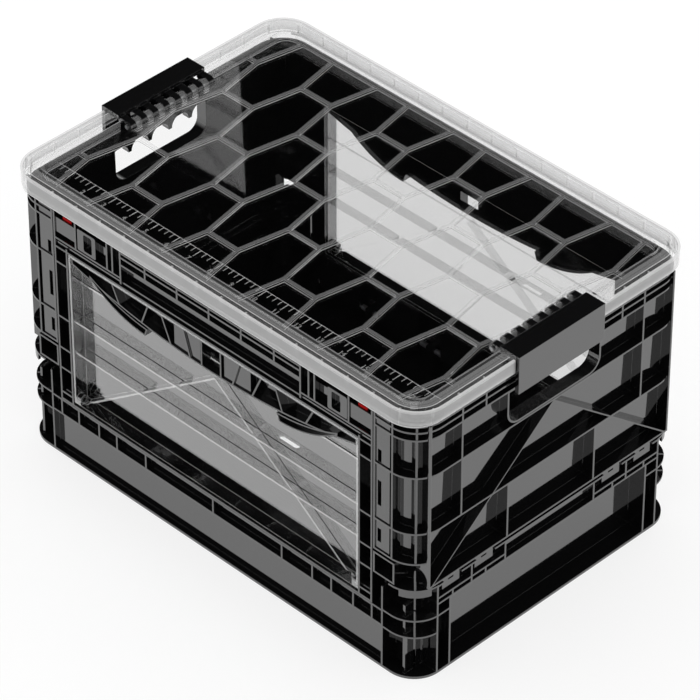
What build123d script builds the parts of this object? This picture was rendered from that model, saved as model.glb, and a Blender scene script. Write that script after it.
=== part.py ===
from build123d import *
import math
import os

# A folding storage crate: a ribbed tray, two end walls on hinge pins, two long walls
# that fold down into the tray, each with a clear drop-down door, and a clear lid
# with a swing latch at each end.
# Millimetres, X along the crate, Y across it, Z up, origin under the middle of the floor.

# Body of the crate, measured outside its ribs
length = 472
width = 316
wall_top = 266
corner_radius = 28
skin = 2.6
rib = 1.8
seat_gap = 0.3
pin_clearance = 0.05

# Base tray
floor_thickness = 2.6
sill_top = 62.5
sill_band = 16
panel_recess = 5.5
base_end_top = 95
end_band = 19
end_band_recess = 5.8
end_shelf = 82
end_pocket = 16.5
post_width = 38.5
post_return = 27
post_recess = 15.7
post_round = 8
post_lip = 8
post_lip_reach = 20
post_rib_tops = (95.5, 63.5, 45.5)
post_core_top = 119.5
post_core_width = 24
post_core_depth = 6
sill_rib_places = (82, 117.8, 140, 165.3, 186.7)
base_end_ribs = (53, 92.5)
lower_pocket_half = 116.5
drain_slot = (24, 6)
drain_slot_place = (-60, -10)
floor_tick = (2, 24, 1)
floor_tick_pitch = 8.5
floor_tick_count = 40
floor_tick_y = 108

# Long walls and their hinges
wall_half = 187
wall_depth = 15
long_wall_gap = 1
hinge_inset = 13
front_hinge_z = 12
back_hinge_z = 29
hinge_pin_radius = 2.5
knuckle_radius = 4.5
tongue_places = (0, 77.5, 150)
tongue_width = 50
boss_places = (38.75, 113.75, 182)
boss_width = 8
opening_half = 171
opening_top = 226
stile_ribs = (71.5, 98, 120, 153.5, 211)
recess_depth = 7
recess_half = 105.5
recess_top = 249.9
top_band_ribs = (257.5, 262.2)
top_band_uprights = (0, 37.5, 75.6)
latch_ledge = 236
latch_pocket_depth = 8
rail_gap_height = 230
rail_step = 1.5

# Slide latches in the long walls
latch_block = (136, 158)
latch_block_height = 22
latch_hole = (140.5, 150.5)
latch_hole_margin = 2.6
latch_front = 0.5
latch_arm_height = 8
latch_arm_depth = 3
latch_tail = 17
latch_divider = 160
latch_nose = 0.5
latch_fillet = 1.8
latch_stop_ribs = (115, 121.6)
latch_stop_depth = 4.8
cover_height = 15
cover_base = 242
cover_depth = 1
cover_skin = 1.8
flag_half = 5
flag_tab_half = 2.4
flag_centre = 173
flag_over_cover = 2
flag_depth = 3.1
flag_thickness = 1.2

# Clear doors and their catches
door_gap = 0.8
door_front = 0.5
door_ribs = (120.5, 154)
door_upper_rib = 191
door_upper_rib_depth = 11.3
door_rib = 1.6
door_skin = 1.8
door_rib_front = 3
door_chamfer = 2
diagonal_depth = 5
diagonal_top = 187
diagonal_foot = 162
door_pin_radius = 2.5
door_pin_z = 71.5
door_pin_depth = 5
door_boss_radius = 4.3
door_boss_length = 7
catch_end = 216.5
catch_low = 195.3
catch_plate = 1.2
catch_depth = 9.5
catch_hole_half = 10.5
catch_hole = (198.5, 215.5)
catch_web = 1.6
catch_panel = (14, 45)
catch_panel_skin = 1.5
catch_webs = ((11.3, 11.3), (24, 34), (46, 60), (86, 74), (104, 120))
catch_front = 1.5
lever_root = (146, 213.5)
lever_tip = (79, 189.5)
lever_width = 8
lever_bow = 6
lever_rim = 1.3

# End walls
end_depth_top = 10.8
end_depth_low = 14.3
column_half = 188
column_bottom = 122.2
column_panel = 21.6
column_recess = 9.3
column_panel_recess = 1
column_gap = 2.5
column_edge = 142
column_slots = ((132, 145.5), (170, 195.5), (215, 227.5))
column_slot_width = 4
column_slot_place = 6
end_bottom = 97.6
end_row_tops = (155.6, 213.7)
end_band_tops = (252, 259.8)
end_uprights = 106.3
end_band_uprights = (79.5, 106.3)
end_low_upright = 51.5
handle_half = 53
handle_low = 216
handle_top = 249.5
handle_radius = 12
scallop_pitch = 23.5
scallop_radius = 10
scallop_count = 5
grip_depth = 8
grip_drop = 9.5
brace_thickness = 1.2
end_pin_depth = 11.3
end_pin_z = 90
end_knuckles = ((65.4, 86.7), (104.5, 124.5))
end_knuckle_front = 2.5
end_knuckle_back = 15
end_knuckle_low = 84
end_knuckle_slot = (6, 1.6)
end_pin_span = (51, 132)

# Lid
lid_length = 480
lid_width = 324
lid_radius = 30
lid_bottom = 270.8
lid_top = 283.8
lid_skin = 2.4
skirt_skin = 2.2
groove = 3.6
lid_panel = (437, 288)
lid_panel_radius = 12
hex_rib = 3.5
hex_rib_top = 276
hex_step = 90.4
hex_row = 49.2
hex_side_half = 18
hex_slant = 9.2
gusset = 1.6
gusset_pitch = 28.75
gusset_count = 16
skin_overlap = 0.5
end_gussets = (82, 110.5, 138.5)
seat_inset = 8
seat_width = 3
fold_room = 0.9

# Lid latches
latch_half = 50
latch_outer = 243
latch_skin = 4
latch_low = 250
latch_top = 287
latch_inner = 222
rod_x = 212.5
rod_z = 279.3
rod_radius = 2
finger_radius = 4.6
finger_pitch = 13
finger_count = 8
finger_width = 6.4
knuckle_width = 6
latch_gap = 1.2

half_length = length / 2
half_width = width / 2
end_pin_x = half_length - end_pin_depth
frame_bottom = sill_top + seat_gap
hinge_y = half_width - hinge_inset
tray_panel_y = half_width - panel_recess
tray_skin_y = tray_panel_y - skin
tray_end_x = half_length - end_pocket
post_x = half_length - post_width
post_y = half_width - post_return
opening_bottom = frame_bottom + rib
door_half = opening_half - door_gap
door_low = opening_bottom + door_gap
door_high = opening_top - door_gap
inner_y = half_width - wall_depth
catch_top = door_high - door_skin - seat_gap
catch_half = door_half - door_skin - seat_gap


def block(x, y, z):
    """A box between two ends on each axis, in a list of one to add or cut later."""
    brick = Box(abs(x[1] - x[0]), abs(y[1] - y[0]), abs(z[1] - z[0]), mode=Mode.PRIVATE)
    return [brick.moved(Location(((x[0] + x[1]) / 2, (y[0] + y[1]) / 2, (z[0] + z[1]) / 2)))]


def both_sides(x, y, z):
    """A box and its mirror image at the other end of the crate."""
    return block(x, y, z) + block((-x[1], -x[0]), y, z)


def depths(side, near, far):
    """The Y ends of what lies between two depths behind a long side's outer face."""
    return (side * (half_width - near), side * (half_width - far))


def ends(side, near, far):
    """The X ends of what lies between two depths behind a short side's outer face."""
    return (side * (half_length - near), side * (half_length - far))


def outline(inset):
    """The rounded outline of the crate body, drawn in from its outer face."""
    return RectangleRounded(length - 2 * inset, width - 2 * inset, corner_radius - inset)


def corner_shell(near, far, z, x_from, y_from, side=0):
    """The rounded wall between two insets, kept only at the corners, from z[0] to z[1]."""
    with BuildSketch(Plane.XY.offset(z[0])) as corners:
        outline(near)
        if far:
            RectangleRounded(length - 2 * far, width - 2 * far, corner_radius - far,
                             mode=Mode.SUBTRACT)
        Rectangle(2 * x_from, width + 2, mode=Mode.SUBTRACT)
        Rectangle(length + 2, 2 * y_from, mode=Mode.SUBTRACT)
        if side:
            with Locations((-side * length / 2, 0)):
                Rectangle(length, width + 2, mode=Mode.SUBTRACT)
    extrude(corners.sketch, amount=z[1] - z[0], clean=False)


def base_tray():
    """The tray: floor, sills, corner posts and the hinge bosses of all four walls."""
    bricks = []
    cuts = []
    with BuildPart() as tray:
        with BuildSketch(Plane.XY):
            outline(0)
            with Locations(drain_slot_place):
                SlotOverall(*drain_slot, mode=Mode.SUBTRACT)
        extrude(amount=floor_thickness)

        # Long side panels and the ribbed sill band above them
        for side in (-1, 1):
            bricks += block((-post_x, post_x), (side * tray_skin_y, side * tray_panel_y),
                            (floor_thickness, sill_top))
            bricks += block((-post_x, post_x), (side * tray_skin_y, side * half_width),
                            (sill_top - rib, sill_top))
            bricks += block((-post_x, post_x), (side * tray_panel_y, side * half_width),
                            (sill_top - sill_band - rib, sill_top - sill_band))
            band = (sill_top - sill_band, sill_top - rib)
            bricks += block((-rib / 2, rib / 2), depths(side, 0, panel_recess), band)
            for place in sill_rib_places:
                bricks += both_sides((place - rib / 2, place + rib / 2), depths(side, 0, panel_recess),
                                     band)

        # End panels, set back from the outer face, with the hinge band on top
        lower_top = base_end_top - end_band
        for side in (-1, 1):
            bricks += block(ends(side, end_pocket, end_pocket + skin), (-tray_panel_y, tray_panel_y),
                            (floor_thickness, lower_top))
            bricks += block(ends(side, 0, end_pocket + skin), (-post_y, post_y),
                            (lower_top - rib, lower_top))
            hinge_back = end_knuckle_back + seat_gap
            bricks += block(ends(side, end_band_recess, end_band_recess + skin), (-post_y, post_y),
                            (lower_top, base_end_top))
            bricks += block(ends(side, hinge_back, hinge_back + skin), (-post_y, post_y),
                            (lower_top - rib, base_end_top))
            bricks += block(ends(side, 0, hinge_back), (-post_y, post_y),
                            (base_end_top - rib, base_end_top))
            for across in (-1, 1):
                for place in base_end_ribs:
                    bricks += block(ends(side, 0, hinge_back),
                                    (across * (place - rib / 2), across * (place + rib / 2)),
                                    (lower_top, base_end_top - rib))
                bricks += block(ends(side, 0, end_pocket),
                                (across * lower_pocket_half, across * (lower_pocket_half + rib)),
                                (floor_thickness, lower_top))
                bricks += block(ends(side, 0, end_pocket),
                                (across * lower_pocket_half, across * post_y),
                                (post_rib_tops[1] - rib, post_rib_tops[1]))
                # Shelf and short rib under the end wall's knuckles, and the slots they hang in
                bricks += block(ends(side, 0, end_band_recess),
                                (across * base_end_ribs[0], across * post_y),
                                (end_shelf - rib, end_shelf))
                for knuckle in end_knuckles:
                    middle = across * (knuckle[0] + knuckle[1]) / 2
                    bricks += block(ends(side, 0, end_band_recess),
                                    (middle - rib / 2, middle + rib / 2), (lower_top, end_shelf - rib))
                    cuts += block(ends(side, -1, hinge_back),
                                  (across * (knuckle[0] - seat_gap), across * (knuckle[1] + seat_gap)),
                                  (end_knuckle_low - seat_gap, base_end_top + 1))

        # Corner posts: a recessed round wall with ribs out to the outer face
        corner_shell(post_recess, post_recess + skin, (floor_thickness, post_rib_tops[0]), post_x,
                     post_y)
        for top in post_rib_tops:
            corner_shell(0, post_recess + skin, (top - rib, top), post_x, post_y)
        corner_shell(0, skin, (post_rib_tops[0] - post_lip, post_rib_tops[0]),
                     half_length - post_lip_reach, half_width - post_lip_reach)
        post_wall_y = half_width - post_recess - skin
        for side in (-1, 1):
            bricks += both_sides((post_x, post_x + rib), (side * post_wall_y, side * half_width),
                                 (floor_thickness, post_rib_tops[0]))
            bricks += both_sides((tray_end_x, half_length), (side * post_y, side * (post_y + rib)),
                                 (floor_thickness, post_rib_tops[0]))
            bricks += both_sides((tray_end_x - skin, tray_end_x),
                                 (side * (post_y - rib), side * (post_y + rib)),
                                 (floor_thickness, post_rib_tops[0]))
            # The upright rib on the round corner itself
            with BuildSketch(Plane.XY.offset(floor_thickness)) as corner_ribs:
                for end in (-1, 1):
                    turn = math.degrees(math.atan2(side, end))
                    middle = corner_radius - (post_recess + 1) / 2 - rib / 8
                    with Locations((end * (half_length - corner_radius + middle * math.sqrt(0.5)),
                                    side * (half_width - corner_radius + middle * math.sqrt(0.5)))):
                        Rectangle(post_recess + 1, rib, rotation=turn)
            extrude(corner_ribs.sketch, amount=post_rib_tops[0] - floor_thickness, clean=False)

        # Post cores that the end walls' columns stand over
        core_x = wall_half + long_wall_gap
        for side in (-1, 1):
            bricks += both_sides((core_x, post_x + post_core_width / 2),
                                 depths(side, post_recess, post_recess + post_core_depth),
                                 (sill_top - rib, post_core_top))
            for level in (post_rib_tops[0] + rib, post_core_top - rib):
                bricks += both_sides((core_x, core_x + post_core_width), depths(side, 0, post_recess),
                                     (level, level + rib))
            for near in (core_x, core_x + post_core_width - rib):
                bricks += both_sides((near, near + rib), depths(side, 0, post_recess),
                                     (post_rib_tops[0] + rib, post_core_top))
        corner_shell(post_recess, None, (post_rib_tops[0], post_core_top), core_x,
                     half_width - post_recess - post_core_depth)

        # Short grip ribs on the floor near the back wall
        for index in range(floor_tick_count):
            middle = (index - (floor_tick_count - 1) / 2) * floor_tick_pitch
            bricks += block((middle - floor_tick[0] / 2, middle + floor_tick[0] / 2),
                            (floor_tick_y - floor_tick[1] / 2, floor_tick_y + floor_tick[1] / 2),
                            (floor_thickness, floor_thickness + floor_tick[2]))

        # Bosses that carry the long walls' hinge pins, with their bores
        for side, pin_z in ((-1, front_hinge_z), (1, back_hinge_z)):
            for place in boss_places:
                bricks += both_sides((place - boss_width / 2, place + boss_width / 2),
                                     (side * (hinge_y - knuckle_radius), side * tray_skin_y),
                                     (floor_thickness, pin_z + knuckle_radius))
        add(bricks, clean=False)
        add(cuts, clean=False, mode=Mode.SUBTRACT)

        # Rounded shoulders where the posts' outer ribs meet their tops
        shoulder_x = post_x + post_round
        shoulder_z = post_rib_tops[0] - post_round
        corners = [(end * (post_x + post_round / 2), shoulder_z + post_round / 2) for end in (-1, 1)]
        for start in (half_width - post_recess, -half_width):
            with BuildSketch(Plane.XZ.offset(start)) as spandrels:
                with Locations(*corners):
                    Rectangle(post_round, post_round)
                with Locations((-shoulder_x, shoulder_z), (shoulder_x, shoulder_z)):
                    Circle(post_round, mode=Mode.SUBTRACT)
            extrude(spandrels.sketch, amount=post_recess, clean=False, mode=Mode.SUBTRACT)
            with BuildSketch(Plane.XZ.offset(start)) as arcs:
                with Locations((-shoulder_x, shoulder_z), (shoulder_x, shoulder_z)):
                    Circle(post_round)
                    Circle(post_round - rib, mode=Mode.SUBTRACT)
                with Locations(*corners):
                    Rectangle(post_round, post_round, mode=Mode.INTERSECT)
            extrude(arcs.sketch, amount=post_recess, clean=False)

        # Bores for the long walls' hinge pins
        with BuildSketch(Plane.YZ.offset(-wall_half)):
            with Locations((-hinge_y, front_hinge_z), (hinge_y, back_hinge_z)):
                Circle(hinge_pin_radius + pin_clearance)
        extrude(amount=2 * wall_half, clean=False, mode=Mode.SUBTRACT)

        # Bores for the end walls' hinge pins
        for start in (end_pin_span[0], -end_pin_span[1]):
            with BuildSketch(Plane.XZ.offset(-start)):
                with Locations((-end_pin_x, end_pin_z), (end_pin_x, end_pin_z)):
                    Circle(hinge_pin_radius + pin_clearance)
            extrude(amount=end_pin_span[0] - end_pin_span[1], clean=False, mode=Mode.SUBTRACT)
    return tray


def end_wall(side):
    """An end wall with its two corner columns, its handle hole and its hinge knuckles."""
    bricks = []
    cuts = []
    with BuildPart() as wall:
        # The drafted inner skin, further back at the top than at the bottom
        with BuildSketch(Plane.XZ.offset(-column_edge)):
            with BuildLine():
                Polyline((side * (half_length - end_depth_top + skin), wall_top),
                         (side * (half_length - end_depth_top), wall_top),
                         (side * (half_length - end_depth_low), end_bottom),
                         (side * (half_length - end_depth_low + skin), end_bottom),
                         close=True)
            make_face()
        extrude(amount=2 * column_edge, clean=False)

        full = (-column_edge - rib / 2, column_edge + rib / 2)
        bricks += block(ends(side, 0, end_depth_low), full, (end_bottom, end_bottom + rib))
        for across in (-1, 1):
            bricks += block(ends(side, 0, end_depth_low),
                            (across * (column_edge - rib / 2), across * (column_edge + rib / 2)),
                            (end_bottom, wall_top))
            # Column: inner return, edge rib, front panel and the rib beside it
            bricks += block((side * column_half, side * (half_length - end_depth_top)),
                            (across * inner_y, across * (inner_y + skin)), (column_bottom, wall_top))
            bricks += block((side * column_half, side * (column_half + rib)),
                            (across * inner_y, across * half_width), (column_bottom, wall_top))
            panel_end = column_half + column_panel - rib - column_gap
            bricks += block((side * column_half, side * panel_end),
                            depths(across, column_panel_recess, column_panel_recess + rib),
                            (column_bottom, wall_top))
            panel_rib = column_half + column_panel - rib
            bricks += block((side * panel_rib, side * (panel_rib + rib)),
                            (across * inner_y, across * half_width), (column_bottom, wall_top))
            slot_near = column_half + column_slot_place - column_slot_width / 2
            for slot in column_slots:
                cuts += block((side * slot_near, side * (slot_near + column_slot_width)),
                              depths(across, -1, column_panel_recess + rib + 1), slot)
            # The rib on the round corner itself
            turn = math.degrees(math.atan2(across, side))
            middle = (corner_radius - (column_recess + 1) / 2 - rib / 8) * math.sqrt(0.5)
            with BuildSketch(Plane.XY.offset(column_bottom)):
                with Locations((side * (half_length - corner_radius + middle),
                                across * (half_width - corner_radius + middle))):
                    Rectangle(column_recess + 1, rib, rotation=turn)
            extrude(amount=wall_top - column_bottom, clean=False)
        corner_shell(column_recess, column_recess + skin, (column_bottom, wall_top),
                     column_half + column_panel - rib, column_edge, side)

        # Ribs that run round the columns and across the end
        levels = [(column_bottom, True)]
        levels += [(top - rib, False) for top in end_row_tops + end_band_tops + (wall_top,)]
        for low, columns_only in levels:
            with BuildSketch(Plane.XY.offset(low)):
                outline(0)
                with Locations((side * (column_half - length / 2), 0)):
                    Rectangle(length, width + 2, mode=Mode.SUBTRACT)
                with Locations((side * (half_length - end_depth_top - length / 2), 0)):
                    Rectangle(length, 2 * inner_y, mode=Mode.SUBTRACT)
                if columns_only:
                    Rectangle(length + 2, 2 * column_edge, mode=Mode.SUBTRACT)
                with Locations((-side * length / 2, 0)):
                    Rectangle(length, width + 2, mode=Mode.SUBTRACT)
            extrude(amount=rib, clean=False)

        # Upright ribs in the rows and in the top band
        row_low, row_high = end_row_tops
        for across in (-1, 1):
            for place in end_band_uprights:
                bricks += block(ends(side, 0, end_depth_top),
                                (across * (place - rib / 2), across * (place + rib / 2)),
                                (end_band_tops[0], wall_top))
            bricks += block(ends(side, 0, end_depth_top),
                            (across * (end_uprights - rib / 2), across * (end_uprights + rib / 2)),
                            (row_low, end_band_tops[0]))
            bricks += block(ends(side, 0, end_depth_low - skin),
                            (across * (end_low_upright - rib / 2), across * (end_low_upright + rib / 2)),
                            (end_bottom, row_low))
            # Diagonal brace from under the handle to the lower corner
            with BuildSketch(Plane.YZ.offset(side * half_length)):
                with BuildLine():
                    brace = Line((0, row_high - rib), (across * (column_edge - rib), end_bottom))
                    offset(brace, brace_thickness / 2, side=Side.BOTH)
                make_face()
            extrude(amount=-side * (end_depth_low - skin), clean=False)
        # Hinge knuckles that hang into the tray's end band
        for across in (-1, 1):
            for knuckle in end_knuckles:
                bricks += block(ends(side, end_knuckle_front, end_knuckle_back),
                                (across * knuckle[0], across * knuckle[1]),
                                (end_knuckle_low, end_bottom + rib))
                middle = across * (knuckle[0] + knuckle[1]) / 2
                cuts += block(ends(side, 0, end_knuckle_front + 1),
                              (middle - end_knuckle_slot[0] / 2, middle + end_knuckle_slot[0] / 2),
                              (base_end_top - 2 * rib, base_end_top - 2 * rib + end_knuckle_slot[1]))
        add(bricks, clean=False)
        add(cuts, clean=False, mode=Mode.SUBTRACT)

        # Handle hole: a lip all round, open right through, with rounded lower corners
        for grow, start, reach, mode in ((rib, 0, end_depth_top, Mode.ADD),
                                         (0, 1, end_depth_low + 2, Mode.SUBTRACT)):
            high = end_band_tops[0] if grow else handle_top
            low = handle_low - grow
            with BuildSketch(Plane.YZ.offset(side * (half_length + start))) as hole:
                with Locations((0, (low + high) / 2)):
                    Rectangle(2 * (handle_half + grow), high - low)
                fillet(hole.vertices().group_by(Axis.Y)[0], handle_radius + grow)
            extrude(amount=-side * reach, clean=False, mode=mode)

        # Scalloped finger grip along the top of the hole
        grip = ends(side, end_depth_top - grip_depth, end_depth_top)
        with BuildSketch(Plane.YZ.offset(min(grip))):
            with Locations((0, handle_top - grip_drop / 2)):
                Rectangle(2 * handle_half, grip_drop)
            with Locations((0, handle_top - grip_drop)):
                with GridLocations(scallop_pitch, 1, scallop_count, 1):
                    Circle(scallop_radius, mode=Mode.SUBTRACT)
        extrude(amount=grip_depth, clean=False)

        # Bore of the hinge knuckles
        with BuildSketch(Plane.XZ.offset(-column_edge)):
            with Locations((side * end_pin_x, end_pin_z)):
                Circle(hinge_pin_radius + pin_clearance)
        extrude(amount=2 * column_edge, clean=False, mode=Mode.SUBTRACT)
    return wall


def end_wall_pins():
    """The two steel pins that the right end wall hinges on."""
    with BuildPart() as pins:
        for start in (end_pin_span[0], -end_pin_span[1]):
            with BuildSketch(Plane.XZ.offset(-start)):
                with Locations((end_pin_x, end_pin_z)):
                    Circle(hinge_pin_radius)
            extrude(amount=end_pin_span[0] - end_pin_span[1])
    return pins


def long_wall_pin(side, pin_z):
    """The rod that a long wall folds on."""
    with BuildPart() as pin:
        with BuildSketch(Plane.YZ.offset(-wall_half)):
            with Locations((side * hinge_y, pin_z)):
                Circle(hinge_pin_radius)
        extrude(amount=2 * wall_half)
    return pin


def long_wall_frame(side, pin_z):
    """A long wall's black frame, from its hinge tongues to its ribbed top band."""
    deep = depths(side, 0, wall_depth)
    recess_floor = depths(side, recess_depth, wall_depth)
    pocket_floor = depths(side, latch_pocket_depth, wall_depth)
    bricks = []
    cuts = []
    with BuildPart() as frame:
        # Inner skin, and the edges of the frame and of its opening
        bricks += block((-wall_half, wall_half), depths(side, wall_depth - skin, wall_depth),
                        (frame_bottom, wall_top))
        bricks += block((-wall_half, wall_half), deep, (frame_bottom, opening_bottom))
        bricks += block((-wall_half, wall_half), deep, (wall_top - rib, wall_top))
        bricks += both_sides((wall_half - rib, wall_half), deep, (frame_bottom, wall_top))
        bricks += both_sides((opening_half, opening_half + rib), deep,
                             (opening_bottom, rail_gap_height))
        bricks += block((-wall_half, wall_half), deep, (opening_top, opening_top + rib))
        bricks += block((-wall_half, wall_half), depths(side, rail_step, wall_depth),
                        (rail_gap_height, rail_gap_height + rib))
        cuts += block((-opening_half, opening_half), depths(side, -1, wall_depth + 1),
                      (opening_bottom, opening_top))
        for level in stile_ribs:
            bricks += both_sides((opening_half, wall_half), deep, (level - rib / 2, level + rib / 2))

        # Long recess over the door, with the ribbed band above it
        bricks += block((-recess_half, recess_half), recess_floor, (rail_gap_height, wall_top))
        for level in (recess_top,) + top_band_ribs:
            bricks += block((-recess_half, recess_half), deep, (level - rib / 2, level + rib / 2))
        for place in top_band_uprights:
            bricks += both_sides((place - rib / 2, place + rib / 2), deep, (recess_top, wall_top))
        bricks += both_sides((recess_half - rib / 2, recess_half + rib / 2), deep,
                             (rail_gap_height, wall_top))

        # Latch pockets: floor, ledge, divider, stop ribs and the cover over the flag
        ledge = (latch_ledge - rib / 2, latch_ledge + rib / 2)
        bricks += both_sides((recess_half, wall_half), pocket_floor, (latch_ledge, wall_top))
        bricks += both_sides((recess_half, wall_half), deep, ledge)
        bricks += both_sides((latch_divider - rib / 2, latch_divider + rib / 2), deep,
                             (latch_ledge, wall_top))
        for place in latch_stop_ribs:
            bricks += both_sides((place - rib / 2, place + rib / 2), depths(side, 0, latch_stop_depth),
                                 (latch_ledge, wall_top))
        cover = (cover_base, cover_base + cover_height)
        bricks += both_sides((latch_divider, wall_half),
                             depths(side, cover_depth, cover_depth + cover_skin), cover)
        flag_room = (cover[0] - flag_over_cover - seat_gap, cover[1] + flag_over_cover + seat_gap)
        cuts += both_sides((latch_divider - rib, wall_half + 1),
                           depths(side, flag_depth - seat_gap, latch_pocket_depth), flag_room)

        # Hinge tongues that reach down into the tray
        tongue = (side * (hinge_y - knuckle_radius), side * (hinge_y + knuckle_radius))
        for place in tongue_places:
            near, far = place - tongue_width / 2, place + tongue_width / 2
            bricks += both_sides((near, far), tongue, (pin_z, frame_bottom + rib))
            for x_low in {near, -far}:
                with BuildSketch(Plane.YZ.offset(x_low)):
                    with Locations((side * hinge_y, pin_z)):
                        Circle(knuckle_radius)
                extrude(amount=tongue_width, clean=False)
        add(bricks, clean=False)
        add(cuts, clean=False, mode=Mode.SUBTRACT)

        # Bores for the wall's own pin and for the door's pins
        with BuildSketch(Plane.YZ.offset(-wall_half)):
            with Locations((side * hinge_y, pin_z)):
                Circle(hinge_pin_radius + pin_clearance)
        extrude(amount=2 * wall_half, clean=False, mode=Mode.SUBTRACT)
        with BuildSketch(Plane.YZ.offset(-wall_half + rib)):
            with Locations((side * (half_width - door_pin_depth), door_pin_z)):
                Circle(door_pin_radius + pin_clearance)
        extrude(amount=2 * (wall_half - rib), clean=False, mode=Mode.SUBTRACT)
    return frame


def slide_latch():
    """The back right slide latch: a finger block on an arm that runs to the wall's end."""
    low = latch_ledge + rib / 2 + seat_gap
    middle = low + latch_block_height / 2
    back = latch_pocket_depth - seat_gap
    arm = (middle - latch_arm_height / 2, middle + latch_arm_height / 2)
    hole = (low + latch_hole_margin, low + latch_block_height - latch_hole_margin)
    cuts = block(latch_hole, depths(1, latch_front - 1, back - skin), hole)
    arms = block((latch_block[1] - rib, wall_half + latch_nose),
                 depths(1, back - latch_arm_depth, back), arm)
    arms += block((latch_block[0] - latch_tail, latch_block[0] + rib), depths(1, back - skin, back),
                  arm)
    with BuildPart() as latch:
        add(block(latch_block, depths(1, latch_front, back), (low, low + latch_block_height)))
        add(cuts, mode=Mode.SUBTRACT)
        fillet(latch.edges().filter_by(Axis.Y), latch_fillet)
        add(arms)
    return latch


def indicator_flag():
    """The red flag on a slide latch's arm, which shows above and below its cover."""
    arm_face = latch_pocket_depth - seat_gap - latch_arm_depth
    flag_back = flag_depth + flag_thickness
    cover_middle = cover_base + cover_height / 2
    bricks = block((flag_centre - flag_half, flag_centre + flag_half), depths(1, flag_depth, flag_back),
                   (cover_base - flag_over_cover, cover_base + cover_height + flag_over_cover))
    bricks += block((flag_centre - flag_half, flag_centre + flag_half), depths(1, flag_back, arm_face),
                    (cover_middle - flag_tab_half, cover_middle + flag_tab_half))
    with BuildPart() as flag:
        add(bricks)
    return flag


def door():
    """The back clear door: a shallow tray with level ribs, diagonal ribs and pin bosses."""
    bricks = []
    pin_y = half_width - door_pin_depth
    with BuildPart() as leaf:
        add(block((-door_half, door_half), depths(1, door_front, wall_depth), (door_low, door_high)))
        outer_low = leaf.edges().filter_by(Axis.X).group_by(Axis.Z)[0]
        chamfer(outer_low.group_by(Axis.Y)[-1], door_chamfer)
        inside = (door_half - door_skin, door_high - door_skin)
        add(block((-inside[0], inside[0]), depths(1, door_front - 1, wall_depth - door_skin),
                  (door_low + door_skin, inside[1])), mode=Mode.SUBTRACT)
        for level in door_ribs:
            bricks += block((-door_half, door_half), depths(1, door_rib_front, wall_depth),
                            (level - door_rib / 2, level + door_rib / 2))
        bricks += block((-door_half, door_half), depths(1, door_upper_rib_depth, wall_depth),
                        (door_upper_rib - door_rib / 2, door_upper_rib + door_rib / 2))
        for across in (-1, 1):
            with BuildSketch(Plane.XZ.offset(-half_width + diagonal_depth)):
                with BuildLine():
                    brace = Line((across * diagonal_foot, door_low + door_skin), (0, diagonal_top))
                    offset(brace, door_rib / 2, side=Side.BOTH)
                make_face()
            extrude(amount=wall_depth - diagonal_depth - door_skin / 2, clean=False)

        # Bosses for the hinge pins, just inside the door's ends
        boss_y = (pin_y - door_boss_radius, pin_y + door_boss_radius)
        bricks += both_sides((door_half - door_boss_length, door_half), boss_y,
                             (door_low + door_chamfer, door_pin_z))
        add(bricks, clean=False)
        for start in (-door_half, door_half - door_boss_length):
            with BuildSketch(Plane.YZ.offset(start)):
                with Locations((pin_y, door_pin_z)):
                    Circle(door_boss_radius)
            extrude(amount=door_boss_length, clean=False)
        with BuildSketch(Plane.YZ.offset(-door_half)):
            with Locations((pin_y, door_pin_z)):
                Circle(door_pin_radius + pin_clearance)
        extrude(amount=2 * door_half, clean=False, mode=Mode.SUBTRACT)
    return leaf


def door_pins():
    """The two stub pins that the back door swings on."""
    with BuildPart() as pins:
        for start in (door_half - door_boss_length, -wall_half + 2 * rib):
            with BuildSketch(Plane.YZ.offset(start)):
                with Locations((half_width - door_pin_depth, door_pin_z)):
                    Circle(door_pin_radius)
            extrude(amount=wall_half - 2 * rib - door_half + door_boss_length)
    return pins


def bow_outline():
    """The outline of a catch's bow, level above and arched below, as a flat sketch."""
    with BuildSketch() as bow:
        with BuildLine():
            Polyline((-catch_half, catch_end), (-catch_half, catch_top), (catch_half, catch_top),
                     (catch_half, catch_end))
            ThreePointArc((catch_half, catch_end), (0, catch_low), (-catch_half, catch_end))
        make_face()
    return bow.sketch


def lever_outline(across):
    """The outline of one curved spring lever, as a flat sketch."""
    middle_x = (lever_root[0] + lever_tip[0]) / 2
    middle_z = (lever_root[1] + lever_tip[1]) / 2 - lever_bow
    root = (across * lever_root[0], lever_root[1])
    tip = (across * lever_tip[0], lever_tip[1])
    tip_over = (tip[0] - across * lever_width / 3, tip[1] + lever_width)
    root_over = (root[0], root[1] + lever_width / 3)
    with BuildSketch() as lever:
        with BuildLine():
            ThreePointArc(root, (across * middle_x, middle_z), tip)
            Line(tip, tip_over)
            ThreePointArc(tip_over, (across * middle_x, middle_z + lever_width), root_over)
            Line(root_over, root)
        make_face()
    return lever.sketch


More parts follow.
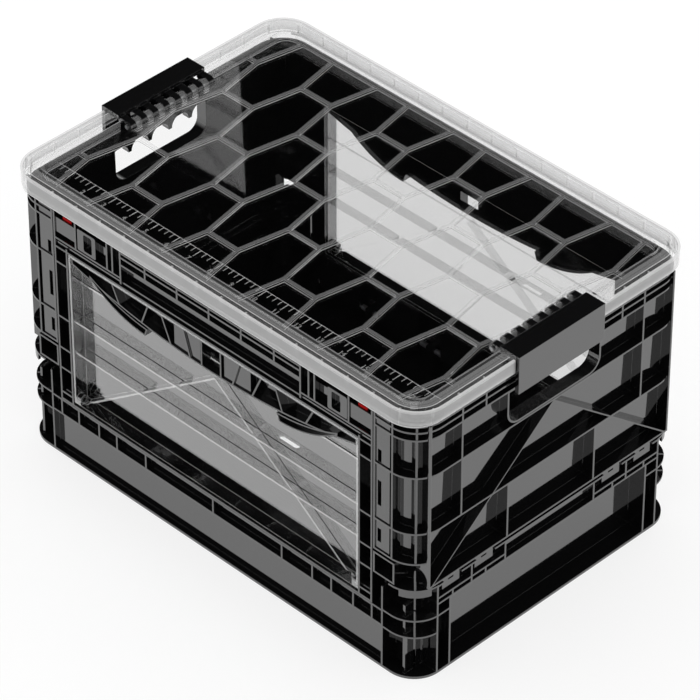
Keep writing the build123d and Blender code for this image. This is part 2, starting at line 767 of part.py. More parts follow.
def door_catch():
    """The back door's bow-shaped catch, with its finger hole and curved spring levers."""
    front = Plane.XZ.offset(-half_width + catch_front)
    pocket = catch_depth - catch_plate
    panels = []
    for across in (-1, 1):
        panels += block((across * catch_panel[0], across * catch_panel[1]),
                        depths(1, catch_front + catch_panel_skin, catch_front + catch_depth),
                        (catch_low, catch_top))
    hole = block((-catch_hole_half, catch_hole_half),
                 depths(1, catch_front - 1, catch_front + catch_depth + 1), catch_hole)
    with BuildPart() as catch:
        # The bow's rim and back plate
        with BuildSketch(front):
            add(bow_outline())
        extrude(amount=catch_depth)
        with BuildSketch(front):
            add(bow_outline())
            offset(amount=-catch_web, mode=Mode.REPLACE)
        extrude(amount=pocket, mode=Mode.SUBTRACT)

        # Raised panels and thin webs in front of the plate, kept inside the bow
        with BuildPart(mode=Mode.PRIVATE) as web_part:
            add(panels)
            for low_x, high_x in catch_webs:
                for across in (-1, 1):
                    with BuildSketch(front):
                        with BuildLine():
                            web = Line((across * low_x, catch_low - 2), (across * high_x, catch_top + 2))
                            offset(web, catch_web / 2, side=Side.BOTH)
                        make_face()
                    extrude(amount=catch_depth)
            with BuildSketch(front):
                add(bow_outline())
            extrude(amount=catch_depth, mode=Mode.INTERSECT)
        add(web_part.part)

        # Curved spring levers that spread down from the bow, each a rim round a plate
        for across in (-1, 1):
            with BuildSketch(front):
                add(lever_outline(across))
            extrude(amount=catch_depth)
            with BuildSketch(front):
                add(lever_outline(across))
                offset(amount=-lever_rim, mode=Mode.REPLACE)
            extrude(amount=pocket, mode=Mode.SUBTRACT)
        add(hole, mode=Mode.SUBTRACT)
    return catch


def hex_ribs():
    """The hexagon net of ribs on the lid's panel, as a flat sketch."""
    waist = hex_side_half + hex_slant
    with BuildSketch() as cell:
        with BuildLine():
            Polyline((hex_side_half, hex_row), (waist, 0), (hex_side_half, -hex_row),
                     (-hex_side_half, -hex_row), (-waist, 0), (-hex_side_half, hex_row),
                     close=True)
        make_face()
        offset(amount=-hex_rib / 2, mode=Mode.REPLACE)
    columns = int(lid_panel[0] / hex_step) + 1
    rows = int(lid_panel[1] / hex_row) + 1
    centres = []
    for row in range(-rows, rows + 1):
        shift = hex_step / 2 if row % 2 else 0
        centres += [(column * hex_step + shift, row * hex_row)
                    for column in range(-columns, columns + 1)]
    centres = [place for place in centres
               if abs(place[0]) < lid_panel[0] / 2 + waist
               and abs(place[1]) < lid_panel[1] / 2 + hex_row]
    with BuildSketch(Plane.XY.offset(lid_bottom + lid_skin)) as net:
        RectangleRounded(*lid_panel, lid_panel_radius)
        with Locations(*centres):
            add(cell.sketch, mode=Mode.SUBTRACT)
    return net


def rim_ring(near, far, z):
    """A ring of the lid's rim between two insets from its skirt."""
    with BuildSketch(Plane.XY.offset(z[0])) as ring:
        RectangleRounded(lid_length - 2 * near, lid_width - 2 * near, lid_radius - near)
        RectangleRounded(lid_length - 2 * far, lid_width - 2 * far, lid_radius - far,
                         mode=Mode.SUBTRACT)
    extrude(ring.sketch, amount=z[1] - z[0], clean=False)


def lid():
    """The clear lid: panel with hexagon ribs, hollow rim with a groove, latch knuckles."""
    web_top = lid_bottom + lid_skin
    wall_at = skirt_skin + groove
    bricks = []
    cuts = []
    with BuildPart() as cover:
        with BuildSketch(Plane.XY.offset(lid_bottom)):
            RectangleRounded(lid_length, lid_width, lid_radius)
        extrude(amount=lid_skin)
        rim_ring(0, skirt_skin, (lid_bottom, lid_top))
        rim_ring(wall_at, wall_at + lid_skin, (web_top, lid_top))
        # Deck and inner wall of the rim, down to the panel
        with BuildSketch(Plane.XY.offset(lid_top - lid_skin)):
            RectangleRounded(lid_length - 2 * wall_at, lid_width - 2 * wall_at,
                             lid_radius - wall_at)
            RectangleRounded(*lid_panel, lid_panel_radius, mode=Mode.SUBTRACT)
        extrude(amount=lid_skin)
        with BuildSketch(Plane.XY.offset(web_top)):
            RectangleRounded(lid_panel[0] + 2 * lid_skin, lid_panel[1] + 2 * lid_skin,
                             lid_panel_radius + lid_skin)
            RectangleRounded(*lid_panel, lid_panel_radius, mode=Mode.SUBTRACT)
        extrude(amount=lid_top - web_top)
        extrude(hex_ribs().sketch, amount=hex_rib_top - web_top)
        # Gussets across the rim's groove
        rise = (web_top, lid_top - skirt_skin)
        for across in (-1, 1):
            bridge = (across * (lid_width / 2 - wall_at - skin_overlap),
                      across * (lid_width / 2 - skirt_skin + skin_overlap))
            for index in range(gusset_count):
                middle = (index - (gusset_count - 1) / 2) * gusset_pitch
                bricks += block((middle - gusset / 2, middle + gusset / 2), bridge, rise)
            end_bridge = (lid_length / 2 - wall_at - skin_overlap,
                          lid_length / 2 - skirt_skin + skin_overlap)
            for place in end_gussets:
                bricks += both_sides(end_bridge,
                                     (across * (place - gusset / 2), across * (place + gusset / 2)),
                                     rise)
        # Seat under the rim: it stands on the end walls and clears the long ones
        seat = wall_top + seat_gap
        rim_ring(seat_inset, seat_inset + seat_width, (seat + fold_room, lid_bottom))
        seat_x = lid_length / 2 - seat_inset
        bricks += both_sides((seat_x - seat_width, seat_x), (-inner_y, inner_y), (seat, lid_bottom))
        # Room for the latches, then the clear knuckles that hold their rods
        for end in (-1, 1):
            cuts += block((end * (rod_x - finger_radius - latch_gap), end * (lid_length / 2 + 1)),
                          (-latch_half - latch_gap, latch_half + latch_gap), (web_top, latch_top))
            cuts += block((end * (latch_outer - latch_skin - latch_gap), end * (lid_length / 2 + 1)),
                          (-latch_half - latch_gap, latch_half + latch_gap),
                          (lid_bottom - 1, latch_top))
        add(bricks, clean=False)
        add(cuts, clean=False, mode=Mode.SUBTRACT)
        for end in (-1, 1):
            for index in range(finger_count - 1):
                middle = (index - (finger_count - 2) / 2) * finger_pitch
                with BuildSketch(Plane.XZ.offset(-middle - knuckle_width / 2)):
                    with Locations((end * rod_x, rod_z)):
                        Circle(finger_radius)
                    with Locations((end * rod_x, (rod_z + web_top) / 2)):
                        Rectangle(2 * finger_radius, rod_z - web_top)
                    with Locations((end * rod_x, rod_z)):
                        Circle(rod_radius + pin_clearance, mode=Mode.SUBTRACT)
                extrude(amount=knuckle_width, clean=False)
    return cover


def lid_latch():
    """The right lid latch: a pull plate hung from a top plate, with fingers on its rod."""
    reach = latch_inner + rib - rod_x
    bricks = block((latch_outer - latch_skin, latch_outer), (-latch_half, latch_half),
                   (latch_low, latch_top))
    bricks += block((latch_inner, latch_outer), (-latch_half, latch_half),
                    (latch_top - latch_skin, latch_top))
    with BuildPart() as latch:
        # Cheeks that stiffen the corner between the two plates
        cheek_low = lid_bottom + lid_skin + latch_gap
        for start in (-latch_half, latch_half - rib):
            with BuildSketch(Plane.XZ.offset(-start)):
                with BuildLine():
                    Polyline((latch_inner, latch_top - 1), (latch_outer - 1, latch_top - 1),
                             (latch_outer - 1, cheek_low), (latch_outer - latch_skin - rib, cheek_low),
                             close=True)
                make_face()
            extrude(amount=-rib, clean=False)
        add(bricks, clean=False)

        # Fingers round the rod, between the lid's knuckles
        for index in range(finger_count):
            middle = (index - (finger_count - 1) / 2) * finger_pitch
            with BuildSketch(Plane.XZ.offset(-middle - finger_width / 2)):
                with Locations((rod_x, rod_z)):
                    Circle(finger_radius)
                with Locations((rod_x + reach / 2, rod_z + finger_radius / 2)):
                    Rectangle(reach, finger_radius)
                with Locations((rod_x, rod_z)):
                    Circle(rod_radius + pin_clearance, mode=Mode.SUBTRACT)
            extrude(amount=finger_width, clean=False)
    return latch


def latch_rod():
    """The rod through the right lid latch's fingers and the lid's knuckles."""
    with BuildPart() as rod:
        with BuildSketch(Plane.XZ.offset(-latch_half)):
            with Locations((rod_x, rod_z)):
                Circle(rod_radius)
        extrude(amount=2 * latch_half)
    return rod


def mirrored(piece, plane):
    """The same piece for the opposite side of the crate."""
    with BuildPart() as copy:
        mirror(piece.part, about=plane)
    return copy


pieces = {"base_tray": base_tray(), "lid": lid()}
for wall_name, wall_side, hinge_z in (("front", -1, front_hinge_z), ("back", 1, back_hinge_z)):
    pieces[wall_name + "_wall_frame"] = long_wall_frame(wall_side, hinge_z)
    pieces[wall_name + "_wall_pin"] = long_wall_pin(wall_side, hinge_z)
for name, piece in (("end_wall", end_wall(1)), ("end_wall_pins", end_wall_pins()),
                    ("lid_latch", lid_latch()), ("lid_latch_rod", latch_rod())):
    pieces["right_" + name] = piece
    pieces["left_" + name] = mirrored(piece, Plane.YZ)
for name, piece in (("door", door()), ("door_pins", door_pins()), ("door_catch", door_catch())):
    pieces["back_" + name] = piece
    pieces["front_" + name] = mirrored(piece, Plane.XZ)
for name, piece in (("slide_latch", slide_latch()), ("indicator_flag", indicator_flag())):
    other = mirrored(piece, Plane.YZ)
    pieces["back_right_" + name] = piece
    pieces["back_left_" + name] = other
    pieces["front_right_" + name] = mirrored(piece, Plane.XZ)
    pieces["front_left_" + name] = mirrored(other, Plane.XZ)

os.makedirs("parts", exist_ok=True)
for name, piece in pieces.items():
    piece.part.label = name
    export_step(piece.part, "parts/" + name + ".step")
    print(name, len(piece.part.solids()), round(piece.part.volume / 1000, 1), "cm3")
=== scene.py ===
import math
import bpy
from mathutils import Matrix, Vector


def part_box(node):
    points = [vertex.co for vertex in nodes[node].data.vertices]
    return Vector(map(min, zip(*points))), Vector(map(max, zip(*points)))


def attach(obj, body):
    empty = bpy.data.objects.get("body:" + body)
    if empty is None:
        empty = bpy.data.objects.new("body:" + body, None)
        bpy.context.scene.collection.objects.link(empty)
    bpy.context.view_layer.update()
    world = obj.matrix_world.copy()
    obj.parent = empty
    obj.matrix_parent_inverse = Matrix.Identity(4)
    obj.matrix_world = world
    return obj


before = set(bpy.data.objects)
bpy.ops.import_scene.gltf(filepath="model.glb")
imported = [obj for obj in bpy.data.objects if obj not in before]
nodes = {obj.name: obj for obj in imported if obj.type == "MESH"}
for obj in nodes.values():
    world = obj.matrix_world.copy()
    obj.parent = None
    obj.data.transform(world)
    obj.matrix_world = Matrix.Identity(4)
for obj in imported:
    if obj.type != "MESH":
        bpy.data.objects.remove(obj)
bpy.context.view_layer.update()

# The studio: a long lens looks down on one corner of the crate, over a white floor that carries on to
# a white horizon. The sky overhead is dark in reflections, so that upright faces of the black plastic
# show grey and level ones show black.
view_azimuth = math.radians(45.01)
view_elevation = math.radians(38.38)
view_distance = 4.0545
view_target = Vector((0.00194, 0.00183, 0.1313))
sensor_width = 36
focal_length = 247.46
view_end = 200
towards_camera = Vector((math.sin(view_azimuth) * math.cos(view_elevation),
                         -math.cos(view_azimuth) * math.cos(view_elevation),
                         math.sin(view_elevation)))
lens = bpy.data.cameras.new("studio_lens")
lens.sensor_width = sensor_width
lens.lens = focal_length
lens.clip_end = view_end
camera = bpy.data.objects.new("studio_camera", lens)
camera.location = view_target + towards_camera * view_distance
camera.rotation_euler = (math.pi / 2 - view_elevation, 0, view_azimuth)
bpy.context.scene.collection.objects.link(camera)
bpy.context.scene.camera = camera
bpy.context.scene.view_settings.view_transform = "Standard"


def math_node(tree, operation, *values, clamp=False):
    """Adds one sum to a node tree. Each value is a number or the output of another node."""
    node = tree.nodes.new("ShaderNodeMath")
    node.operation = operation
    node.use_clamp = clamp
    for socket, value in zip(node.inputs, values):
        if isinstance(value, (int, float)):
            socket.default_value = value
        else:
            tree.links.new(value, socket)
    return node.outputs[0]


floor_radius = 60
floor_sides = 64
floor_white = 0.72
floor_bounce = 0.3
bpy.ops.object.select_all(action="DESELECT")
bpy.ops.mesh.primitive_circle_add(vertices=floor_sides, radius=floor_radius, fill_type="NGON")
studio_floor = bpy.context.object
studio_floor.name = "studio_floor"
floor_paint = bpy.data.materials.new("floor_paint")
floor_paint.use_nodes = True
tree = floor_paint.node_tree
tree.nodes.clear()
ray = tree.nodes.new("ShaderNodeLightPath")
seen = math_node(tree, "MAXIMUM", ray.outputs["Is Camera Ray"], ray.outputs["Is Glossy Ray"])
seen_through = math_node(tree, "MAXIMUM", seen, ray.outputs["Is Transmission Ray"])
glow = tree.nodes.new("ShaderNodeEmission")
tree.links.new(math_node(tree, "MULTIPLY", seen_through, floor_white), glow.inputs["Strength"])
matt = tree.nodes.new("ShaderNodeBsdfDiffuse")
matt.inputs["Color"].default_value = (floor_bounce, floor_bounce, floor_bounce, 1)
both = tree.nodes.new("ShaderNodeAddShader")
tree.links.new(glow.outputs[0], both.inputs[0])
tree.links.new(matt.outputs[0], both.inputs[1])
out = tree.nodes.new("ShaderNodeOutputMaterial")
tree.links.new(both.outputs[0], out.inputs["Surface"])
studio_floor.data.materials.append(floor_paint)

horizon_height = 0.02
dark_height = 0.5
sky_white = (1, 1, 1, 1)
sky_dark = (0.005, 0.005, 0.005, 1)
sky = bpy.data.worlds.new("studio_sky")
bpy.context.scene.world = sky
sky.use_nodes = True
tree = sky.node_tree
tree.nodes.clear()
direction = tree.nodes.new("ShaderNodeTexCoord")
split = tree.nodes.new("ShaderNodeSeparateXYZ")
tree.links.new(direction.outputs["Generated"], split.inputs[0])
height = tree.nodes.new("ShaderNodeValToRGB")
height.color_ramp.elements[0].position = horizon_height
height.color_ramp.elements[0].color = sky_white
height.color_ramp.elements[1].position = dark_height
height.color_ramp.elements[1].color = sky_dark
tree.links.new(split.outputs["Z"], height.inputs[0])
ray = tree.nodes.new("ShaderNodeLightPath")
mirrored = math_node(tree, "MAXIMUM", ray.outputs["Is Glossy Ray"], ray.outputs["Is Transmission Ray"])
even = tree.nodes.new("ShaderNodeBackground")
even.inputs["Color"].default_value = sky_white
graded = tree.nodes.new("ShaderNodeBackground")
tree.links.new(height.outputs["Color"], graded.inputs["Color"])
choose = tree.nodes.new("ShaderNodeMixShader")
tree.links.new(mirrored, choose.inputs["Fac"])
tree.links.new(even.outputs[0], choose.inputs[1])
tree.links.new(graded.outputs[0], choose.inputs[2])
out = tree.nodes.new("ShaderNodeOutputWorld")
tree.links.new(choose.outputs[0], out.inputs["Surface"])

# Base tray: one injection moulding in glossy black polypropylene, with deep ribs round a thin skin.
# Its mould was polished, so the skin mirrors the floor, and every rib end is slightly rounded.
rib_end_radius = 0.0004
ripple_depth = 0.0004
ripple_size = 40.0


def moulded_skin():
    """The fine surface of a moulded part: rounded rib ends, faint ripples, uneven gloss."""
    skin = bpy.data.node_groups.new("moulded_skin", "ShaderNodeTree")
    face = skin.interface
    starts = {"Gloss": 0.1, "Gloss Spread": 0.05, "Ripple": 0.05, "Ripple Size": ripple_size}
    for label, start in starts.items():
        socket = face.new_socket(label, in_out="INPUT", socket_type="NodeSocketFloat")
        socket.default_value = start
    face.new_socket("Roughness", in_out="OUTPUT", socket_type="NodeSocketFloat")
    face.new_socket("Normal", in_out="OUTPUT", socket_type="NodeSocketVector")
    given = skin.nodes.new("NodeGroupInput")
    result = skin.nodes.new("NodeGroupOutput")
    place = skin.nodes.new("ShaderNodeTexCoord")
    ripple = skin.nodes.new("ShaderNodeTexNoise")
    ripple.inputs["Detail"].default_value = 2
    skin.links.new(place.outputs["Object"], ripple.inputs["Vector"])
    skin.links.new(given.outputs["Ripple Size"], ripple.inputs["Scale"])
    haze = math_node(skin, "MULTIPLY_ADD", ripple.outputs["Fac"],
                     given.outputs["Gloss Spread"], given.outputs["Gloss"])
    rounded = skin.nodes.new("ShaderNodeBevel")
    rounded.samples = 6
    rounded.inputs["Radius"].default_value = rib_end_radius
    bump = skin.nodes.new("ShaderNodeBump")
    bump.inputs["Distance"].default_value = ripple_depth
    skin.links.new(given.outputs["Ripple"], bump.inputs["Strength"])
    skin.links.new(ripple.outputs["Fac"], bump.inputs["Height"])
    skin.links.new(rounded.outputs["Normal"], bump.inputs["Normal"])
    skin.links.new(haze, result.inputs["Roughness"])
    skin.links.new(bump.outputs["Normal"], result.inputs["Normal"])
    return skin


def plastic(name, colour, index, gloss, spread, ripple):
    """A moulded plastic: its colour and index, with the moulded skin over it."""
    paint = bpy.data.materials.new(name)
    paint.use_nodes = True
    tree = paint.node_tree
    shader = tree.nodes["Principled BSDF"]
    shader.inputs["Base Color"].default_value = (*colour, 1)
    shader.inputs["IOR"].default_value = index
    surface = tree.nodes.new("ShaderNodeGroup")
    surface.node_tree = skin
    surface.inputs["Gloss"].default_value = gloss
    surface.inputs["Gloss Spread"].default_value = spread
    surface.inputs["Ripple"].default_value = ripple
    tree.links.new(surface.outputs["Roughness"], shader.inputs["Roughness"])
    tree.links.new(surface.outputs["Normal"], shader.inputs["Normal"])
    return paint


skin = moulded_skin()
black_plastic = plastic("black_plastic", colour=(0.004, 0.004, 0.0042), index=2.1,
                        gloss=0.03, spread=0.05, ripple=0.02)
nodes["base_tray"].material_slots[0].material = black_plastic

# End walls: one black moulding each, with its two corner columns and its hand hole in one piece.
# Each hinges on the tray's end on two short pins, cut from drawn steel rod.
steel_colour = (0.55, 0.55, 0.56, 1)
drawing_size = 900
steel_roughness = (0.22, 0.42)
steel = bpy.data.materials.new("drawn_steel")
steel.use_nodes = True
tree = steel.node_tree
shader = tree.nodes["Principled BSDF"]
shader.inputs["Base Color"].default_value = steel_colour
shader.inputs["Metallic"].default_value = 1
drawing = tree.nodes.new("ShaderNodeTexNoise")
drawing.inputs["Scale"].default_value = drawing_size
coords = tree.nodes.new("ShaderNodeTexCoord")
tree.links.new(coords.outputs["Object"], drawing.inputs["Vector"])
worn = tree.nodes.new("ShaderNodeMapRange")
worn.inputs["To Min"].default_value = steel_roughness[0]
worn.inputs["To Max"].default_value = steel_roughness[1]
tree.links.new(drawing.outputs["Fac"], worn.inputs["Value"])
tree.links.new(worn.outputs["Result"], shader.inputs["Roughness"])
for end in ("left", "right"):
    nodes[end + "_end_wall"].material_slots[0].material = black_plastic
    nodes[end + "_end_wall_pins"].material_slots[0].material = steel

# Long walls: one black moulding round each door opening, ribbed along its top. Tongues at its foot
# turn on a long steel rod in the tray, so that the wall folds inward and down.
for wall in ("front", "back"):
    nodes[wall + "_wall_frame"].material_slots[0].material = black_plastic
    nodes[wall + "_wall_pin"].material_slots[0].material = steel

# Slide latches: a black moulded finger block on a flat arm in each upper corner of a long wall, with
# a red moulded flag clipped to the arm.
red_plastic = plastic("red_plastic", colour=(0.6, 0.005, 0.005), index=1.5,
                      gloss=0.25, spread=0.1, ripple=0.05)
for wall in ("front", "back"):
    for end in ("left", "right"):
        nodes[wall + "_" + end + "_slide_latch"].material_slots[0].material = black_plastic
        nodes[wall + "_" + end + "_indicator_flag"].material_slots[0].material = red_plastic

# Doors: one clear polycarbonate moulding in each long wall, ribbed on its outer face. It drops outward
# on two black stub pins at its foot, and a black moulded catch on spring levers holds its top.
# The edge mask for the painted white highlights on clear plastic: its bevel radius and the turn it
# spans.
edge_radius = 0.0006
edge_turn = (0.995, 0.86)
clear_index = 1.5
cloud_size = 30
cloud_roughness = 0.02
mirror_tint = (0.95, 0.95, 0.95, 1)


def edge_glow():
    """How near a point lies to a moulded edge, where clear plastic gets a painted white highlight: 0 to
    1.
    """
    group = bpy.data.node_groups.new("edge_glow", "ShaderNodeTree")
    socket = group.interface.new_socket("Radius", in_out="INPUT", socket_type="NodeSocketFloat")
    socket.default_value = edge_radius
    group.interface.new_socket("Edge", in_out="OUTPUT", socket_type="NodeSocketFloat")
    given = group.nodes.new("NodeGroupInput")
    result = group.nodes.new("NodeGroupOutput")
    rounded = group.nodes.new("ShaderNodeBevel")
    rounded.samples = 4
    group.links.new(given.outputs["Radius"], rounded.inputs["Radius"])
    flat = group.nodes.new("ShaderNodeNewGeometry")
    turn = group.nodes.new("ShaderNodeVectorMath")
    turn.operation = "DOT_PRODUCT"
    group.links.new(rounded.outputs["Normal"], turn.inputs[0])
    group.links.new(flat.outputs["Normal"], turn.inputs[1])
    spread = group.nodes.new("ShaderNodeMapRange")
    spread.inputs["From Min"].default_value = edge_turn[0]
    spread.inputs["From Max"].default_value = edge_turn[1]
    group.links.new(turn.outputs["Value"], spread.inputs["Value"])
    group.links.new(spread.outputs["Result"], result.inputs["Edge"])
    return group


def clear(name, walls, white, painted_highlight_share):
    """A clear moulded plastic as a thin sheet: a mirror over what lies behind it, with painted white
    highlights by the share given.
    """
    paint = bpy.data.materials.new(name)
    paint.use_nodes = True
    tree = paint.node_tree
    shader = tree.nodes["Principled BSDF"]
    place = tree.nodes.new("ShaderNodeTexCoord")
    cloud = tree.nodes.new("ShaderNodeTexNoise")
    cloud.inputs["Scale"].default_value = cloud_size
    tree.links.new(place.outputs["Object"], cloud.inputs["Vector"])
    polish = math_node(tree, "MULTIPLY", cloud.outputs["Fac"], cloud_roughness)
    tree.links.new(polish, shader.inputs["Roughness"])
    glass = tree.nodes.new("ShaderNodeFresnel")
    glass.inputs["IOR"].default_value = clear_index
    facing = tree.nodes.new("ShaderNodeNewGeometry")
    outside = math_node(tree, "SUBTRACT", 1, facing.outputs["Backfacing"])
    mirror = math_node(tree, "MULTIPLY", glass.outputs[0], walls, clamp=True)
    # Painted highlight: flat white laid over the sheet by the share given, in place of light caught at
    # rounded edges.
    solid = math_node(tree, "ADD", mirror, painted_highlight_share(tree, place), clamp=True)
    tree.links.new(math_node(tree, "MULTIPLY", solid, outside), shader.inputs["Alpha"])
    mirror_part = math_node(tree, "DIVIDE", mirror, solid, clamp=True)
    tree.links.new(mirror_part, shader.inputs["Metallic"])
    # The painted highlight's white where the sheet is not mirror, and the mirror tint where it is.
    colour = tree.nodes.new("ShaderNodeMix")
    colour.data_type = "RGBA"
    colour.inputs["A"].default_value = (white, white, white, 1)
    colour.inputs["B"].default_value = mirror_tint
    tree.links.new(mirror_part, colour.inputs["Factor"])
    tree.links.new(colour.outputs["Result"], shader.inputs["Base Color"])
    return paint


def edge_white(share):
    """Painted white highlight only along the moulded edges, by the share given."""
    def build(tree, place):
        edges = tree.nodes.new("ShaderNodeGroup")
        edges.node_tree = painted_highlight_edges
        return math_node(tree, "MULTIPLY", edges.outputs["Edge"], share)
    return build


# The doors' clear plastic gets a painted white highlight along every moulded edge.
painted_highlight_edges = edge_glow()
clear_plastic = clear("clear_plastic", walls=4.2, white=0.9, painted_highlight_share=edge_white(0.6))
for wall in ("front", "back"):
    nodes[wall + "_door"].material_slots[0].material = clear_plastic
    nodes[wall + "_door_pins"].material_slots[0].material = black_plastic
    nodes[wall + "_door_catch"].material_slots[0].material = black_plastic

# Lid: one clear moulding that rests on the end walls, ribbed with hexagons. Its bright lines and grey
# bands are painted highlights: flat white laid round the skirt, along the deck's steps, over the gussets
# and at the foot of each rib. Each row of stops pairs a distance in millimetres with the share of
# painted white from there on.
lid_low, lid_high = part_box("lid")
panel_rise = 0.0069
panel_top = lid_low[2] + panel_rise
panel_half = (0.2185, 0.144)
lid_corner = 0.030
corner_x = lid_high[0] - lid_corner
corner_y = lid_high[1] - lid_corner
deck_span = 20
deck_stops = ((0, 0.6), (0.7, 0.6), (0.71, 0.3), (1.5, 0.3), (1.51, 0.6), (2.25, 0.6), (2.26, 0.4),
              (5.7, 0.4), (5.71, 0.6), (6.6, 0.6), (6.61, 0.19), (9.5, 0.19), (9.51, 0.12), (10.2, 0.12),
              (10.21, 0.19), (14, 0.19), (14.01, 0.04), (16.5, 0.04), (16.51, 0.2), (18.2, 0.2),
              (18.21, 0))
skirt_drop = 0.005
skirt_bottom = panel_top - skirt_drop
skirt_span = 15.6
skirt_stops = ((0, 0.75), (0.9, 0.75), (0.91, 0.42), (13.6, 0.42), (14.1, 0.65), (15.6, 0.65))
wall_span = 10.6
wall_stops = ((0, 0.5), (0.7, 0.5), (0.71, 0.25), (3.5, 0.25), (3.51, 0.08), (4.5, 0.08), (4.51, 0.2),
              (9.8, 0.2), (9.81, 0.5), (10.6, 0.5))
rib_span = 12
rib_stops = ((0, 0), (0.05, 0), (0.06, 0.8), (0.7, 0.8), (0.71, 0.02), (2.2, 0.02), (2.21, 0.6),
             (2.65, 0.6), (2.66, 0.12), (3.2, 0.12))
groove_floor = panel_top + 0.0002
groove_middle = 0.004
groove_half = 0.0017
# Painted highlight over the gussets in the rim's groove.
gusset_painted_highlight = 0.35
skirt_depth = 0.0026
level_above = 0.5
hair = 0.0001


def steps(tree, value, stops, span):
    """Looks the value, in metres, up in a row of stops that are given in millimetres."""
    scaled = math_node(tree, "MULTIPLY", value, 1000 / span, clamp=True)
    ramp = tree.nodes.new("ShaderNodeValToRGB")
    while len(ramp.color_ramp.elements) < len(stops):
        ramp.color_ramp.elements.new(1)
    for element, (where, share) in zip(ramp.color_ramp.elements, stops):
        element.position = where / span
        element.color = (share, share, share, 1)
    tree.links.new(scaled, ramp.inputs[0])
    return ramp.outputs["Color"]


def lid_white(tree, place):
    """The share of painted white highlight on the lid's plastic, by the inset from its outline and by
    the height.
    """
    def combine(operation, *values):
        return math_node(tree, operation, *values)

    split = tree.nodes.new("ShaderNodeSeparateXYZ")
    tree.links.new(place.outputs["Object"], split.inputs[0])
    from_x = combine("ABSOLUTE", split.outputs["X"])
    from_y = combine("ABSOLUTE", split.outputs["Y"])
    height = split.outputs["Z"]
    over_x = combine("MAXIMUM", combine("SUBTRACT", from_x, corner_x), 0)
    over_y = combine("MAXIMUM", combine("SUBTRACT", from_y, corner_y), 0)
    squares = combine("ADD", combine("MULTIPLY", over_x, over_x), combine("MULTIPLY", over_y, over_y))
    inset = combine("SUBTRACT", lid_corner, combine("SQRT", squares))
    over_panel = combine("SUBTRACT", height, panel_top)
    over_skirt = combine("SUBTRACT", height, skirt_bottom)
    deck = steps(tree, inset, deck_stops, deck_span)
    skirt = steps(tree, over_skirt, skirt_stops, skirt_span)
    ribs = steps(tree, over_panel, rib_stops, rib_span)
    wall = steps(tree, over_panel, wall_stops, wall_span)
    facing = tree.nodes.new("ShaderNodeNewGeometry")
    turned = tree.nodes.new("ShaderNodeSeparateXYZ")
    tree.links.new(facing.outputs["Normal"], turned.inputs[0])
    level = combine("GREATER_THAN", combine("ABSOLUTE", turned.outputs["Z"]), level_above)
    raised = combine("GREATER_THAN", height, groove_floor)
    in_x = combine("LESS_THAN", from_x, panel_half[0] - hair)
    in_y = combine("LESS_THAN", from_y, panel_half[1] - hair)
    in_panel = combine("MULTIPLY", in_x, in_y)
    half_x = combine("COMPARE", from_x, panel_half[0], hair)
    half_y = combine("COMPARE", from_y, panel_half[1], hair)
    upright = combine("SUBTRACT", 1, level)
    on_wall = combine("MULTIPLY", combine("MAXIMUM", half_x, half_y), upright)
    on_top = combine("MULTIPLY", combine("MULTIPLY", deck, raised), level)
    in_groove = combine("MULTIPLY", combine("COMPARE", inset, groove_middle, groove_half), raised)
    gussets = combine("MULTIPLY", in_groove, gusset_painted_highlight)
    on_skirt = combine("MULTIPLY", skirt, combine("LESS_THAN", inset, skirt_depth))
    rim = combine("MAXIMUM", combine("MAXIMUM", on_top, gussets), on_skirt)
    inside = combine("MULTIPLY", ribs, in_panel)
    outside = combine("MULTIPLY", rim, combine("SUBTRACT", 1, in_panel))
    return combine("ADD", combine("ADD", inside, outside), combine("MULTIPLY", wall, on_wall))


# The lid's clear plastic, with its bands of painted highlight.
lid_plastic = clear("lid_plastic", walls=1.4, white=0.85, painted_highlight_share=lid_white)
nodes["lid"].material_slots[0].material = lid_plastic

# The skirt's lower lip: the lid's outer wall reaches a little further down than the panel, all round
# but for the two latches, in the same moulding. It steps in at the two ends.
skirt_wall = 0.0022
lip_below_panel = 0.0025
lip_height = panel_top - lip_below_panel - skirt_bottom
latch_room = 0.0012
lip_step = 0.0024
corner_segments = 14
bpy.ops.object.select_all(action="DESELECT")
bpy.ops.mesh.primitive_plane_add(size=1, location=(0, 0, skirt_bottom))
lip = bpy.context.object
lip.scale = (2 * (lid_high[0] - lip_step), 2 * lid_high[1], 1)
bpy.ops.object.transform_apply(location=True, rotation=True, scale=True)
bpy.ops.object.mode_set(mode="EDIT")
bpy.ops.mesh.select_all(action="SELECT")
bpy.ops.mesh.bevel(offset=lid_corner - lip_step, offset_type="OFFSET", segments=corner_segments,
                   affect="VERTICES")
bpy.ops.mesh.select_all(action="SELECT")
bpy.ops.mesh.inset(thickness=skirt_wall, depth=0)
bpy.ops.mesh.delete(type="FACE")
bpy.ops.mesh.select_all(action="SELECT")
bpy.ops.mesh.extrude_region_move(TRANSFORM_OT_translate={"value": (0, 0, lip_height)})
bpy.ops.mesh.select_all(action="SELECT")
bpy.ops.mesh.normals_make_consistent(inside=False)
bpy.ops.object.mode_set(mode="OBJECT")
latch_low, latch_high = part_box("left_lid_latch")
gap_width = latch_high[1] - latch_low[1] + 2 * latch_room
bpy.ops.object.select_all(action="DESELECT")
bpy.ops.mesh.primitive_cube_add(size=1, location=(0, 0, skirt_bottom))
gap = bpy.context.object
gap.scale = (4 * lid_high[0], gap_width, 4 * lip_height)
bpy.ops.object.transform_apply(location=True, rotation=True, scale=True)
trim = lip.modifiers.new("trim", "BOOLEAN")
trim.operation = "DIFFERENCE"
trim.object = gap
bpy.ops.object.select_all(action="DESELECT")
lip.select_set(True)
bpy.context.view_layer.objects.active = lip
bpy.ops.object.modifier_apply(modifier=trim.name)
bpy.ops.object.select_all(action="DESELECT")
gap.select_set(True)
bpy.ops.object.delete()
lip.name = "lid_skirt_lip"
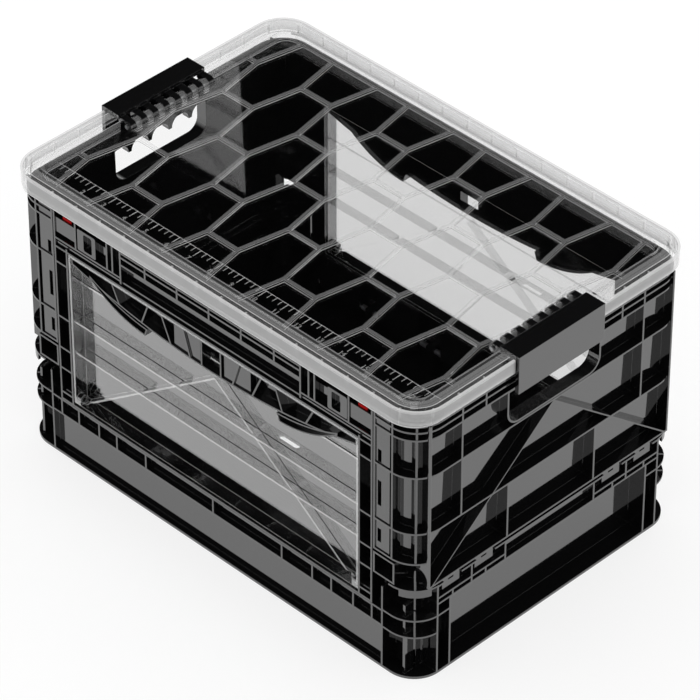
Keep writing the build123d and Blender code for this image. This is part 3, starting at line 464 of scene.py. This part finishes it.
lip.data.materials.clear()
lip.data.materials.append(lid_plastic)
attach(lip, "lid")

# The scale on the lid: an inch rule moulded into the panel's top near the front edge, with raised
# lines every quarter inch and numerals that read from the front.
inch = 0.0254
scale_zero = -0.227
scale_line_y = -0.1185
scale_line = 0.0005
mark_height = 0.0004
quarter_length = 0.006
inch_length = 0.0095
numeral_shift = -0.001
numeral_y = -0.1326
numeral_size = 0.007
first_quarter, last_quarter = 2, 70
last_inch = 17
marks = []


def bar(length_x, length_y, x, y, count, step):
    """A row of equal raised bars on the panel, each hanging down from y."""
    bpy.ops.object.select_all(action="DESELECT")
    bpy.ops.mesh.primitive_cube_add(size=1, location=(x, y - length_y / 2, panel_top + mark_height / 2))
    row = bpy.context.object
    row.scale = (length_x, length_y, mark_height)
    bpy.ops.object.transform_apply(location=True, rotation=True, scale=True)
    repeat = row.modifiers.new("repeat", "ARRAY")
    repeat.count = count
    repeat.use_relative_offset = False
    repeat.use_constant_offset = True
    repeat.constant_offset_displace = (step, 0, 0)
    bpy.ops.object.modifier_apply(modifier=repeat.name)
    marks.append(row)


quarters = last_quarter - first_quarter + 1
line_length = (quarters + 1) * inch / 4
line_middle = scale_zero + (first_quarter + last_quarter) / 2 * inch / 4
bar(line_length, scale_line, line_middle, scale_line_y + scale_line / 2, 1, 0)
bar(scale_line, quarter_length, scale_zero + first_quarter * inch / 4, scale_line_y, quarters, inch / 4)
bar(scale_line, inch_length, scale_zero + inch, scale_line_y, last_inch, inch)
for number in range(1, last_inch + 1):
    bpy.ops.object.select_all(action="DESELECT")
    bpy.ops.object.text_add()
    numeral = bpy.context.object
    numeral.data.body = str(number)
    numeral.data.size = numeral_size
    numeral.data.align_x = "CENTER"
    numeral.data.align_y = "CENTER"
    numeral.data.extrude = mark_height / 2
    bpy.ops.object.convert(target="MESH")
    numeral_x = scale_zero + number * inch + numeral_shift
    numeral.location = (numeral_x, numeral_y, panel_top + mark_height / 2)
    bpy.ops.object.transform_apply(location=True, rotation=True, scale=True)
    marks.append(numeral)
bpy.ops.object.select_all(action="DESELECT")
for mark in marks:
    mark.select_set(True)
bpy.context.view_layer.objects.active = marks[0]
bpy.ops.object.join()
lid_scale = bpy.context.object
lid_scale.name = "lid_scale"
bpy.context.scene.cursor.location = (0, 0, 0)
bpy.ops.object.origin_set(type="ORIGIN_CURSOR")
# The marks' edges get a painted white highlight.
mark_plastic = clear("mark_plastic", walls=1, white=0.9, painted_highlight_share=edge_white(0.7))
lid_scale.data.materials.clear()
lid_scale.data.materials.append(mark_plastic)
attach(lid_scale, "lid")

# Lid latches: a black moulded pull plate at each end of the lid. It swings on a steel rod that runs
# through the lid's clear knuckles.
for end in ("left", "right"):
    nodes[end + "_lid_latch"].material_slots[0].material = black_plastic
    nodes[end + "_lid_latch_rod"].material_slots[0].material = steel
